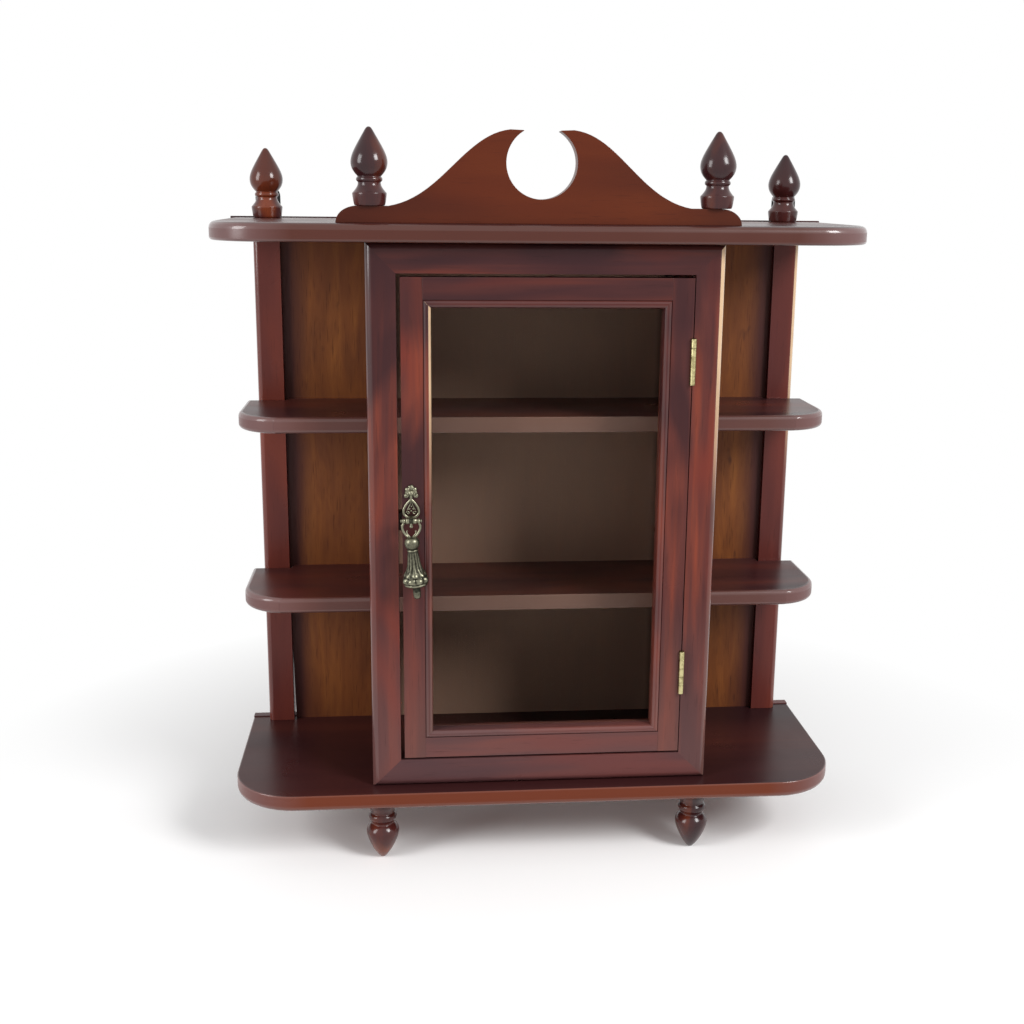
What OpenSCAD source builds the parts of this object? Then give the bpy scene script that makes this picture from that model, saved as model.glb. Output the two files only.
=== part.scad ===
// Wall or table curio cabinet: glazed case with a door, open side shelves,
// top and bottom boards, pediment, finials and pendants.
// Millimetres, +Z up, front of the cabinet towards -Y, back plane towards +Y.

/* [Boards] */
// width of the top board
top_width = 540; // [532:1:640]
// distance from each end of the top board back to the end of the bottom board
bottom_inset = 4; // [0:0.5:8]
// depth of the cabinet from the back plane to the front edge of the boards
cabinet_depth = 180; // [180:1:230]
// thickness of the top and bottom boards
board_thickness = 15; // [13:0.5:20]
// radius of the front corners of the top board
top_corner_radius = 50; // [20:1:60]
// radius of the front corners of the bottom board
bottom_corner_radius = 55; // [20:1:60]
// clear height between the two boards
clear_height = 464; // [440:1:560]

/* [Back] */
// depth of the strips glued along the back edges of the boards
strip_depth = 8; // [6:0.5:8]
// height by which the strips stand proud of the boards
strip_proud = 1; // [0.5:0.5:2]
// thickness of the plywood back panel
panel_thickness = 4; // [3:0.5:4]
// gap left at the bottom between the panel and the left post, where the panel was cut out of square
panel_gap = 1.5; // [0:0.1:2]
// height over which that gap closes
panel_gap_height = 78; // [40:1:140]
// width of each post
post_width = 24; // [23:1:26]
// depth of each post
post_depth = 18; // [16:1:20]
// distance from each end of the top board to the outer face of the post
post_inset = 20; // [16:1:21]
// radius of the outer front edge of each post
post_edge_radius = 5; // [2:0.5:6]

/* [Case] */
// outer width of the glazed case
case_width = 291; // [285:1:300]
// depth from the back plane to the face of the case
case_depth = 166; // [160:1:172]
// thickness of the case sides
side_thickness = 12; // [10:0.5:14]
// width of the face frame stiles and rails
face_width = 24.4; // [24:0.1:28]
// thickness of the face frame
face_thickness = 18; // [18:0.5:20]
// radius of the outer front edges of the face frame
face_edge_radius = 6; // [3:0.5:7]

/* [Shelves] */
// thickness of every shelf
shelf_thickness = 14; // [12:0.5:16]
// depth from the back plane to the front edges of the shelves
shelf_depth = 115; // [105:1:125]
// height of the lower shelf top above the bottom board
lower_shelf_height = 155; // [130:1:170]
// height of the upper shelf top above the bottom board
upper_shelf_height = 315; // [300:1:340]
// distance from each end of the top board to the outer end of a side shelf
side_shelf_inset = 10; // [6:1:14]
// radius of the outer front corner of a side shelf
shelf_corner_radius = 40; // [20:1:50]

/* [Pediment] */
// full width of the pediment foot
pediment_width = 322; // [316:1:330]
// height of the pediment peaks above the top board
pediment_height = 72; // [66:1:76]
// thickness of the pediment board
pediment_thickness = 15; // [12:0.5:18]
// distance of the pediment face behind the front edge of the top board
pediment_setback = 8; // [4:0.5:10]
// sideways shift of the pediment from the cabinet middle
pediment_shift = -6; // [-8:1:8]
// height of the flat landings at both ends of the pediment
landing_height = 13; // [11:0.5:16]
// distance from each end of the pediment to the inner end of its landing
landing_length = 41; // [41:1:46]
// distance over which each end of the pediment is rounded down
end_round_reach = 17; // [13:0.5:18]
// distance from the pediment middle to each peak
peak_offset = 25; // [24:0.5:28]
// radius of the round cut-out
cutout_radius = 28; // [24:0.5:29]
// height of the cut-out centre above the top board
cutout_height = 47; // [44:0.5:49]

/* [Turnings] */
// height of a finial
finial_height = 60; // [54:1:66]
// widest radius of a finial and of a pendant
turning_radius = 14.5; // [13.5:0.5:15]
// distance by which the finials stand to the right of the pediment middle
finial_shift = 3.5; // [2:0.5:4]
// mean distance from the ends of the pediment to the inner finial axes
inner_finial_inset = 23; // [22:0.5:24]
// mean distance from the ends of the top board to the outer finial axes
outer_finial_inset = 37; // [34:1:38]
// depth of the outer finial axis in front of the back plane
outer_finial_depth = 24; // [24:1:30]
// height of a pendant, which is also the standing height of the cabinet
pendant_height = 58; // [54:1:64]
// distance from the cabinet middle to a pendant
pendant_offset = 138; // [110:1:180]
// depth of the front pendant axes in front of the back plane
front_pendant_depth = 152; // [140:1:160]
// depth of the rear pendant axes in front of the back plane
rear_pendant_depth = 28; // [26:1:40]
// radius of the dowel turned on each finial and pendant
dowel_radius = 3; // [2.5:0.5:4]
// length of the dowel
dowel_length = 9; // [7:0.5:10]

/* [Hanger] */
// width of a hanger plate
hanger_width = 22; // [20:1:22]
// thickness of a hanger plate
hanger_thickness = 2; // [1.5:0.5:2.5]
// height of the hanger plate above the top board
hanger_rise = 29; // [26:1:34]
// length of the hanger plate below the top face of the top board
hanger_drop = 45; // [44:1:60]
// radius of the wall screw hole in a hanger plate
hanger_hole_radius = 3; // [2:0.25:4]

/* [Door] */
// gap between the door and the face frame on the pull side
pull_side_gap = 3.3; // [2:0.1:3.5]
// gap between the door and the face frame on the hinge side
hinge_side_gap = 0.8; // [0.8:0.1:1.2]
// gap above the door
door_top_gap = 2.7; // [1.5:0.1:3]
// gap below the door
door_bottom_gap = 1.9; // [1.2:0.1:3]
// thickness of the door frame
door_thickness = 16; // [16:0.5:17]
// visible width of the door stiles and rails
door_member_width = 18; // [18:0.5:22]
// width of the glazing bead
bead_width = 6.5; // [6:0.5:10]
// depth of the glazing bead behind its face
bead_depth = 9; // [8:0.5:9]
// height of the bead above the door face
bead_proud = 1; // [0.5:0.25:1.5]
// thickness of the glass
glass_thickness = 3; // [2:0.5:3]
// side clearance of the glass in the door frame
glass_clearance = 0.5; // [0.3:0.1:1]
// width of the rear glass stops
stop_width = 6; // [5:0.5:8]

/* [Hinges] */
// height of a hinge
hinge_length = 38; // [32:1:44]
// distance from the door top to the upper hinge
upper_hinge_inset = 49; // [30:1:70]
// distance from the door bottom to the lower hinge
lower_hinge_inset = 54; // [30:1:70]
// radius of the hinge barrel
barrel_radius = 2.3; // [2.2:0.1:2.5]
// radius of the hinge pin
pin_radius = 1.1; // [1:0.05:1.2]
// radial play of the moving knuckles on the pin
pin_play = 0.06; // [0.03:0.01:0.1]
// gap between neighbouring knuckles
knuckle_gap = 0.3; // [0.2:0.05:0.4]
// thickness of a hinge leaf
leaf_thickness = 1; // [0.9:0.1:1.2]
// depth of a hinge leaf behind the door face
leaf_depth = 13; // [12:0.5:13.5]
// distance of the hinge pin in front of the door face
pin_projection = 1.2; // [1:0.1:1.5]

/* [Pull] */
// height of the tassel pivot above the underside of the bottom board
pivot_height = 255.5; // [200:0.5:300]
// sideways distance of the pull from the middle of the door stile
pull_shift = -1.6; // [-1.6:0.1:1.6]
// distance of the tassel pivot in front of the door face
pivot_standoff = 13; // [13:0.5:15]
// length of the tassel below its pivot
tassel_length = 66.5; // [60:0.5:80]
// sideways lean of the cast drop on its stirrup
drop_lean = 5; // [0:0.5:6]
// radius of the tassel rim
rim_radius = 11.2; // [9:0.1:11.2]
// radius of the pull pin
pull_pin_radius = 0.9; // [0.8:0.05:1]
// radial play of the tassel eye on the pull pin
pull_pin_play = 0.06; // [0.03:0.01:0.1]

/* [Hidden] */
$fn = 96;
tiny = 0.01;
clear_gap = 0.4;
front_reach = case_depth + pivot_standoff + rim_radius;
back_y = front_reach / 2;
under_z = pendant_height;
base_z = under_z + board_thickness;
ceiling_z = base_z + clear_height;
top_z = ceiling_z + board_thickness;
panel_front = strip_depth + panel_thickness;
bottom_half = top_width / 2 - bottom_inset;
post_outer = top_width / 2 - post_inset;
side_shelf_reach = top_width / 2 - side_shelf_inset;
outer_finial_offset = top_width / 2 - outer_finial_inset;
post_inner = post_outer - post_width;
case_half = case_width / 2;
case_inner = case_half - side_thickness;
opening_half = case_half - face_width;
opening_low = base_z + face_width;
opening_high = ceiling_z - face_width;
face_back = case_depth - face_thickness;
door_left = -opening_half + pull_side_gap;
door_right = opening_half - hinge_side_gap;
door_low = opening_low + door_bottom_gap;
door_high = opening_high - door_top_gap;
door_back = case_depth - door_thickness;
pane_left = door_left + door_member_width;
pane_right = door_right - door_member_width;
pane_low = door_low + door_member_width;
pane_high = door_high - door_member_width;
glass_front = case_depth - bead_depth;
glass_back = glass_front - glass_thickness;
hinge_x = (door_right + opening_half) / 2;
hinge_depth = case_depth + pin_projection;
recess_radius = barrel_radius + clear_gap;
upper_hinge_z = door_high - upper_hinge_inset - hinge_length;
lower_hinge_z = door_low + lower_hinge_inset;
knuckle_count = 5;
knuckle_pitch = (hinge_length + knuckle_gap) / knuckle_count;
knuckle_length = knuckle_pitch - knuckle_gap;
hinge_screw_radius = 1.2;
hinge_screw_head = 2.2;
hinge_screw_length = 10;
hinge_screw_rise = 11;
hinge_screw_depth = case_depth - leaf_depth / 2 - pin_projection;
pediment_front = cabinet_depth - pediment_setback;
pediment_middle = pediment_front - pediment_thickness / 2;
pediment_steps = 24;
ogee_foot_pull = 42;
ogee_foot_rise = 7;
ogee_peak_pull = 36;
ogee_peak_drop = 4;
landing_start = pediment_width / 2 - landing_length;
inner_finial_offset = pediment_width / 2 - inner_finial_inset;
finial_middle = pediment_shift + finial_shift;
hanger_screw_radius = 1.75;
hanger_screw_head = 3.4;
hanger_screw_length = 14;
hanger_screw_pitch = 27.5;
hanger_screw_drops = [board_thickness / 2, board_thickness / 2 + hanger_screw_pitch];
hanger_offset = post_inner + hanger_width / 2;
hanger_hole_rise = hanger_rise - hanger_width / 2;
pull_x = door_left + door_member_width / 2 + pull_shift;
pull_z = under_z + pivot_height;
pull_depth = case_depth + pivot_standoff;
plate_thickness = 2;
crest_rise = 22.6;
crest_radius = 4.6;
crest_thickness = 2.6;
crown_rise = 2.1;
crown_radius = 3;
scroll_rise = 18.6;
scroll_offset = 4.2;
scroll_radius = 2.9;
neck_half = 1.6;
neck_low = 14;
pear_half = 7.4;
pear_low = -1.2;
pear_high = 16.5;
pear_band_side = 2.1;
pear_band_low = 2.1;
pear_band_high = 3.7;
pear_fullness = 0.77;
pear_steps = 40;
boss_half = 4.5;
boss_radius = 2.6;
tongue_drop = 4.6;
tongue_radius = 1.7;
ear_inner = 4.9;
ear_outer = 7.3;
ear_radius = 2.1;
arm_radius = 1.1;
pin_head_inner = 7.9;
pin_head_outer = 8.7;
pin_head_radius = 1.5;
pull_screw_radius = 1.6;
pull_screw_head = 3.2;
catch_drop = 8.5;
catch_width = 26;
catch_depth = 11;
catch_rise = 16;
strike_width = 12;
strike_rise = 14;
strike_thickness = 2;
strike_shift = 1;
catch_gap = 0.5;

// block between two x values, two depths from the back plane and two heights
module bar(x0, x1, d0, d1, z0, z1) {
    translate([x0, back_y - d1, z0])
        cube([x1 - x0, d1 - d0, z1 - z0]);
}

// moves its children to a point given by x, depth from the back plane and height
module at(x, depth, z) {
    translate([x, back_y - depth, z])
        children();
}

// draws its children as they are for the right side, mirrored for the left side
module on_side(side) {
    mirror([side < 0 ? 1 : 0, 0, 0])
        children();
}

// flat prism standing in the x-z plane between two depths
module slab(points, d0, d1) {
    at(0, d0, 0)
        rotate([90, 0, 0])
            linear_extrude(height = d1 - d0)
                polygon(points);
}

// one piece of a mitred rectangular frame
module mitred(edge, xl, xr, zl, zh, w, d0, d1) {
    if (edge == "left")
        slab([[xl, zl], [xl + w, zl + w], [xl + w, zh - w], [xl, zh]], d0, d1);
    if (edge == "right")
        slab([[xr, zl], [xr, zh], [xr - w, zh - w], [xr - w, zl + w]], d0, d1);
    if (edge == "top")
        slab([[xl, zh], [xl + w, zh - w], [xr - w, zh - w], [xr, zh]], d0, d1);
    if (edge == "bottom")
        slab([[xl, zl], [xr, zl], [xr - w, zl + w], [xl + w, zl + w]], d0, d1);
}

// board with a square back and two rounded front corners
module rounded_board(half, d0, d1, z0, radius) {
    bar(-half, half, d0, d1 - radius, z0, z0 + board_thickness);
    bar(radius - half, half - radius, d0, d1, z0, z0 + board_thickness);
    for (s = [-1, 1])
        at(s * (half - radius), d1 - radius, z0)
            cylinder(r = radius, h = board_thickness);
}

module dowel_hole(x, depth, z) {
    at(x, depth, z)
        cylinder(r = dowel_radius, h = dowel_length);
}

module top_board() {
    color("brown")
        difference() {
            rounded_board(top_width / 2, strip_depth, cabinet_depth, ceiling_z, top_corner_radius);
            for (s = [-1, 1])
                dowel_hole(finial_middle + s * outer_finial_offset, outer_finial_depth,
                           top_z - dowel_length);
            hanger_screws();
        }
}

module bottom_board() {
    color("brown")
        difference() {
            rounded_board(bottom_half, strip_depth, cabinet_depth, under_z, bottom_corner_radius);
            for (s = [-1, 1], d = [front_pendant_depth, rear_pendant_depth])
                dowel_hole(s * pendant_offset, d, under_z);
        }
}

module back_strip(half, z) {
    difference() {
        bar(-half, half, 0, strip_depth, z - strip_proud, z + board_thickness + strip_proud);
        hanger_rebates();
        hanger_screws();
    }
}

module top_back_strip() {
    color("brown")
        back_strip(top_width / 2, ceiling_z);
}

module bottom_back_strip() {
    color("brown")
        back_strip(bottom_half, under_z);
}

module back_panel() {
    color("peru")
        slab([[panel_gap - post_inner, base_z], [post_inner, base_z], [post_inner, ceiling_z],
              [-post_inner, ceiling_z], [-post_inner, base_z + panel_gap_height]],
             strip_depth, panel_front);
}

module post(side) {
    edge = post_edge_radius;
    color("brown")
        difference() {
            on_side(side) {
                bar(post_inner, post_outer - edge, 0, post_depth, base_z, ceiling_z);
                bar(post_inner, post_outer, 0, post_depth - edge, base_z, ceiling_z);
                at(post_outer - edge, post_depth - edge, base_z)
                    cylinder(r = edge, h = clear_height);
            }
            back_strip(top_width / 2, ceiling_z);
            back_strip(bottom_half, under_z);
            hanger_rebates();
            hanger_screws();
        }
}

module case_side(side) {
    color("brown")
        on_side(side)
            bar(case_inner, case_half, panel_front, face_back, base_z, ceiling_z);
}

// stile or rail of the face frame with its outer front edge rounded, before mitring
module face_blank(edge) {
    r = face_edge_radius;
    upright = edge == "left" || edge == "right";
    side = edge == "left" ? -1 : 1;
    if (upright)
        on_side(side) {
            bar(opening_half, case_half - r, face_back, case_depth, base_z, ceiling_z);
            bar(opening_half, case_half, face_back, case_depth - r, base_z, ceiling_z);
            at(case_half - r, case_depth - r, base_z)
                cylinder(r = r, h = clear_height);
        }
    if (!upright) {
        outer = edge == "top" ? ceiling_z : base_z;
        inset = edge == "top" ? ceiling_z - r : base_z + r;
        inner = edge == "top" ? opening_high : opening_low;
        bar(-case_half, case_half, face_back, case_depth, min(inset, inner), max(inset, inner));
        bar(-case_half, case_half, face_back, case_depth - r, min(outer, inner), max(outer, inner));
        at(-case_half, case_depth - r, inset)
            rotate([0, 90, 0])
                cylinder(r = r, h = case_width);
    }
}

module face_piece(edge) {
    color("brown")
        difference() {
            intersection() {
                face_blank(edge);
                mitred(edge, -case_half, case_half, base_z, ceiling_z, face_width,
                       face_back, case_depth);
            }
            hinge_recesses(1);
            hinge_screw_cuts(1);
        }
}

module inner_shelf(height) {
    color("brown")
        bar(-case_inner, case_inner, panel_front, shelf_depth,
            base_z + height - shelf_thickness, base_z + height);
}

module side_shelf(side, height) {
    r = shelf_corner_radius;
    high = base_z + height;
    low = high - shelf_thickness;
    color("brown")
        on_side(side) {
            bar(case_half, post_inner, panel_front, shelf_depth, low, high);
            bar(post_inner - tiny, side_shelf_reach, post_depth, shelf_depth - r, low, high);
            bar(post_inner - tiny, side_shelf_reach - r, post_depth, shelf_depth, low, high);
            at(side_shelf_reach - r, shelf_depth - r, low)
                cylinder(r = r, h = shelf_thickness);
        }
}

// point on the rising curve of the pediment, t from 0 at the landing to 1 at the peak
function ogee(t) =
    let (a = [landing_start, landing_height])
    let (b = [landing_start - ogee_foot_pull, landing_height + ogee_foot_rise])
    let (c = [peak_offset + ogee_peak_pull, pediment_height - ogee_peak_drop])
    let (d = [peak_offset, pediment_height])
    pow(1 - t, 3) * a + 3 * t * pow(1 - t, 2) * b + 3 * t * t * (1 - t) * c + pow(t, 3) * d;

// point on the rounded end of the pediment, t from 0 at the foot to 1 at the landing
function end_round(t) =
    [pediment_width / 2 - end_round_reach + end_round_reach * cos(90 * t), landing_height * sin(90 * t)];

module pediment() {
    round_points = [for (i = [0 : 12]) end_round(i / 12)];
    curve_points = [for (i = [0 : pediment_steps]) ogee(i / pediment_steps)];
    half = concat([[0, 0]], round_points, curve_points, [[0, pediment_height - 1]]);
    color("sienna")
        translate([pediment_shift, 0, 0])
            difference() {
                translate([0, 0, top_z])
                    for (s = [-1, 1])
                        on_side(s)
                            slab(half, pediment_front - pediment_thickness, pediment_front);
                at(0, pediment_front - pediment_thickness - 1, top_z + cutout_height)
                    rotate([90, 0, 0])
                        cylinder(r = cutout_radius, h = pediment_thickness + 2);
                for (s = [-1, 1])
                    dowel_hole(finial_shift + s * inner_finial_offset, pediment_middle,
                               top_z + landing_height - dowel_length);
            }
}

// turned finial with a drum, a bead and a pointed bulb, standing on z = 0
module finial_shape() {
    h = finial_height;
    r = turning_radius;
    translate([0, 0, -dowel_length])
        cylinder(r = dowel_radius, h = dowel_length + 1);
    rotate_extrude()
        polygon([[0, 0], [r * 0.86, 0], [r * 0.89, h * 0.05], [r * 0.93, h * 0.12],
                 [r * 0.92, h * 0.17], [r * 0.8, h * 0.22], [r * 0.66, h * 0.26],
                 [r * 0.63, h * 0.3], [r * 0.68, h * 0.325], [r * 0.64, h * 0.35],
                 [r * 0.74, h * 0.38], [r * 0.9, h * 0.44], [r, h * 0.53], [r * 0.98, h * 0.59],
                 [r * 0.86, h * 0.67], [r * 0.62, h * 0.77], [r * 0.38, h * 0.87],
                 [r * 0.17, h * 0.95], [r * 0.06, h * 0.99], [0, h]]);
}

module finial(x, depth, z) {
    color("brown")
        at(x, depth, z)
            finial_shape();
}

// turned pendant hanging from z = 0 down to its tip
module pendant_shape() {
    h = pendant_height;
    r = turning_radius;
    cylinder(r = dowel_radius, h = dowel_length);
    rotate_extrude()
        polygon([[0, 0], [r * 0.86, 0], [r * 0.93, -h * 0.06], [r * 0.9, -h * 0.12],
                 [r * 0.74, -h * 0.19], [r * 0.72, -h * 0.24], [r * 0.84, -h * 0.28],
                 [r * 0.84, -h * 0.34], [r * 0.7, -h * 0.38], [r * 0.68, -h * 0.42],
                 [r * 0.86, -h * 0.47], [r * 0.98, -h * 0.52], [r, -h * 0.56],
                 [r * 0.96, -h * 0.63], [r * 0.78, -h * 0.75], [r * 0.48, -h * 0.89],
                 [r * 0.22, -h * 0.98], [r * 0.12, -h], [0, -h]]);
}

module pendant(x, depth) {
    color("brown")
        at(x, depth, under_z)
            pendant_shape();
}

// outline of one hanger plate on the right side
module hanger_outline(extra_front) {
    half = hanger_width / 2;
    at(hanger_offset, 0, top_z + hanger_rise - half)
        rotate([90, 0, 0])
            cylinder(r = half, h = hanger_thickness + extra_front);
    bar(hanger_offset - half, hanger_offset + half, 0, hanger_thickness + extra_front,
        top_z - hanger_drop, top_z + hanger_rise - half);
}

module hanger_rebates() {
    for (s = [-1, 1])
        on_side(s)
            hanger_outline(0);
}

// countersunk screw along +Y, its head flush with y = 0 and its point towards -Y
module plate_screw() {
    rotate([90, 0, 0]) {
        cylinder(r1 = hanger_screw_head, r2 = hanger_screw_radius, h = hanger_thickness);
        cylinder(r = hanger_screw_radius, h = hanger_screw_length);
    }
}

module hanger_screws() {
    color("silver")
        for (s = [-1, 1], drop = hanger_screw_drops)
            at(s * hanger_offset, 0, top_z - drop)
                plate_screw();
}

module hanger_plate(side) {
    color("black")
        difference() {
            on_side(side)
                hanger_outline(0);
            at(side * hanger_offset, -1, top_z + hanger_hole_rise)
                rotate([90, 0, 0])
                    cylinder(r = hanger_hole_radius, h = hanger_thickness + 2);
            hanger_screws();
        }
}

module door_stile(side) {
    inner = side < 0 ? pane_left : pane_right;
    outer = side < 0 ? door_left : door_right;
    color("brown")
        difference() {
            bar(min(inner, outer), max(inner, outer), door_back, case_depth, door_low, door_high);
            hinge_recesses(-1);
            hinge_screw_cuts(-1);
            pull_screw_cut();
        }
}

module door_rail(low, high) {
    color("brown")
        bar(pane_left, pane_right, door_back, case_depth, low, high);
}

module bead(edge) {
    color("brown")
        mitred(edge, pane_left, pane_right, pane_low, pane_high, bead_width,
               glass_front, case_depth + bead_proud);
}

module stop(edge) {
    color("brown")
        mitred(edge, pane_left, pane_right, pane_low, pane_high, stop_width,
               door_back, glass_back);
}

module glass_pane() {
    c = glass_clearance;
    color("lightblue", 0.4)
        bar(pane_left + c, pane_right - c, glass_back, glass_front, pane_low + c, pane_high - c);
}

// room for the hinge leaves and barrels: side 1 in the face frame, side -1 in the door
module hinge_recesses(side) {
    wood = side > 0 ? opening_half : door_right;
    for (z = [lower_hinge_z, upper_hinge_z]) {
        at(hinge_x, hinge_depth, z - clear_gap)
            cylinder(r = recess_radius, h = hinge_length + 2 * clear_gap);
        bar(min(wood, wood + side * leaf_thickness), max(wood, wood + side * leaf_thickness),
            case_depth - leaf_depth, case_depth + tiny, z, z + hinge_length);
    }
}

// countersunk screw through a leaf, side 1 into the face frame, side -1 into the door
module leaf_screw(side) {
    rotate([0, side * 90, 0]) {
        cylinder(r1 = hinge_screw_head, r2 = hinge_screw_radius, h = leaf_thickness);
        cylinder(r = hinge_screw_radius, h = hinge_screw_length);
    }
}

module hinge_screw_cuts(side) {
    surface = side > 0 ? opening_half : door_right;
    for (z = [lower_hinge_z, upper_hinge_z], s = [-1, 1])
        at(surface, hinge_screw_depth, z + hinge_length / 2 + s * hinge_screw_rise)
            leaf_screw(side);
}

module hinge_screws(side) {
    color("gold")
        hinge_screw_cuts(side);
}

// one leaf with its knuckles; first is 0 for the face frame leaf and 1 for the door leaf
module hinge_leaf(side, z, first, bore) {
    surface = side > 0 ? opening_half : door_right;
    x0 = min(surface, surface + side * leaf_thickness);
    color("gold")
        difference() {
            union() {
                bar(x0, x0 + leaf_thickness, case_depth - leaf_depth, hinge_depth, z, z + hinge_length);
                for (i = [first : 2 : knuckle_count - 1])
                    at(hinge_x, hinge_depth, z + i * knuckle_pitch)
                        cylinder(r = barrel_radius, h = knuckle_length);
            }
            for (i = [1 - first : 2 : knuckle_count - 1])
                at(hinge_x, hinge_depth, z + i * knuckle_pitch - knuckle_gap)
                    cylinder(r = recess_radius, h = knuckle_length + 2 * knuckle_gap);
            at(hinge_x, hinge_depth, z - 1)
                cylinder(r = bore, h = hinge_length + 2);
            hinge_screw_cuts(side);
        }
}

module hinge_pin(z) {
    color("gold")
        at(hinge_x, hinge_depth, z)
            cylinder(r = pin_radius, h = hinge_length);
}

// disc on the face of the door, with its middle at x and z from the tassel pivot
module face_disc(x, z, radius, height) {
    at(pull_x + x, case_depth, pull_z + z)
        rotate([90, 0, 0])
            cylinder(r = radius, h = height);
}

// bar along X at the tassel pivot, between two distances from the middle on both sides
module cross_bar(x0, x1, radius) {
    for (x = x0 > 0 ? [-x1, x0] : [-x1])
        at(pull_x + x, pull_depth, pull_z)
            rotate([0, 90, 0])
                cylinder(r = radius, h = x0 > 0 ? x1 - x0 : 2 * x1);
}

module pull_screw_cut() {
    at(pull_x, door_back, pull_z + crest_rise)
        rotate([90, 0, 0])
            cylinder(r = pull_screw_radius, h = door_thickness + plate_thickness / 2);
}

module pull_screw() {
    color("goldenrod") {
        pull_screw_cut();
        at(pull_x, door_back - 1.5, pull_z + crest_rise)
            rotate([90, 0, 0])
                cylinder(r = pull_screw_head, h = 1.5);
    }
}

// outline of a pear, narrow at the top
function pear(half, low, high) =
    let (middle = (low + high) / 2)
    [for (i = [0 : pear_steps - 1])
        let (t = 360 * i / pear_steps)
        [half / pear_fullness * sin(t) * sin(t / 2), middle + (high - low) / 2 * cos(t)]];

// back plate with a crest, two scrolls, a pierced pear and a boss for the pin
module pull_back_plate() {
    color("goldenrod")
        difference() {
            union() {
                face_disc(0, crest_rise, crest_radius, crest_thickness);
                face_disc(0, crest_rise + crown_rise, crown_radius, plate_thickness);
                for (s = [-1, 1])
                    face_disc(s * scroll_offset, scroll_rise, scroll_radius, plate_thickness);
                bar(pull_x - neck_half, pull_x + neck_half, case_depth, case_depth + plate_thickness,
                    pull_z + neck_low, pull_z + crest_rise);
                at(pull_x, case_depth, pull_z)
                    rotate([90, 0, 0])
                        linear_extrude(height = plate_thickness)
                            difference() {
                                polygon(pear(pear_half, pear_low, pear_high));
                                polygon(pear(pear_half - pear_band_side, pear_low + pear_band_low,
                                             pear_high - pear_band_high));
                            }
                bar(pull_x - neck_half, pull_x + neck_half, case_depth, pull_depth,
                    pull_z - boss_radius, pull_z + boss_radius);
                cross_bar(0, boss_half, boss_radius);
                at(pull_x, pull_depth, pull_z - tongue_drop)
                    sphere(r = tongue_radius);
                at(pull_x, pull_depth, pull_z - tongue_drop)
                    cylinder(r = arm_radius, h = tongue_drop);
            }
            pull_screw_cut();
            cross_bar(0, pin_head_outer, pull_pin_radius);
        }
}

module pull_pin() {
    color("goldenrod")
        union() {
            cross_bar(0, pin_head_outer, pull_pin_radius);
            cross_bar(pin_head_inner, pin_head_outer, pin_head_radius);
        }
}

// round arm of the stirrup between two points of the x-z plane at the pivot depth
module arm(from, to) {
    step = to - from;
    translate([from.x, 0, from.y])
        rotate([0, atan2(step.x, step.y), 0])
            cylinder(r = arm_radius, h = norm(step));
    translate([to.x, 0, to.y])
        sphere(r = arm_radius);
}

// cast ball, bell with a rim and stud, hanging straight down from its stirrup
module drop_shape() {
    h = tassel_length;
    r = rim_radius;
    rotate_extrude()
        polygon([[0, -h * 0.205], [r * 0.232, -h * 0.205], [r * 0.446, -h * 0.223],
                 [r * 0.554, -h * 0.262], [r * 0.554, -h * 0.295], [r * 0.464, -h * 0.34],
                 [r * 0.357, -h * 0.359], [r * 0.375, -h * 0.376], [r * 0.411, -h * 0.406],
                 [r * 0.446, -h * 0.481], [r * 0.518, -h * 0.556], [r * 0.625, -h * 0.617],
                 [r * 0.768, -h * 0.653], [r * 0.929, -h * 0.692], [r, -h * 0.729],
                 [r, -h * 0.767], [r * 0.92, -h * 0.812], [r * 0.732, -h * 0.836],
                 [r * 0.357, -h * 0.848], [r * 0.295, -h * 0.865], [r * 0.277, -h * 0.902],
                 [r * 0.286, -h * 0.97], [r * 0.214, -h * 0.995], [0, -h]]);
}

// drop on a stirrup whose two ears turn on the pull pin
module pull_tassel() {
    shoulder = [7.2, -tassel_length * 0.084];
    foot = [4.2, -tassel_length * 0.1985];
    top = -tassel_length * 0.2045;
    color("goldenrod")
        difference() {
            union() {
                cross_bar(ear_inner, ear_outer, ear_radius);
                at(pull_x, pull_depth, pull_z) {
                    for (s = [0, 1])
                        mirror([s, 0, 0]) {
                            arm([(ear_inner + ear_outer) / 2, 0], shoulder);
                            arm(shoulder, foot);
                        }
                    translate([-foot.x, 0, foot.y])
                        rotate([0, 90, 0])
                            cylinder(r = arm_radius, h = 2 * foot.x);
                    translate([0, 0, top])
                        rotate([0, -drop_lean, 0])
                            translate([0, 0, -top])
                                drop_shape();
                }
            }
            cross_bar(0, pin_head_outer, pull_pin_radius + pull_pin_play);
        }
}

module catch_magnet() {
    front = face_back - catch_gap;
    low = pull_z - catch_drop - catch_rise / 2;
    color("gray")
        bar(-case_inner, catch_width - case_inner, front - catch_depth, front, low, low + catch_rise);
}

module catch_strike() {
    low = pull_z - catch_drop - strike_rise / 2;
    mid = pull_x + strike_shift;
    color("silver")
        bar(mid - strike_width / 2, mid + strike_width / 2, door_back - strike_thickness, door_back,
            low, low + strike_rise);
}

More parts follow.
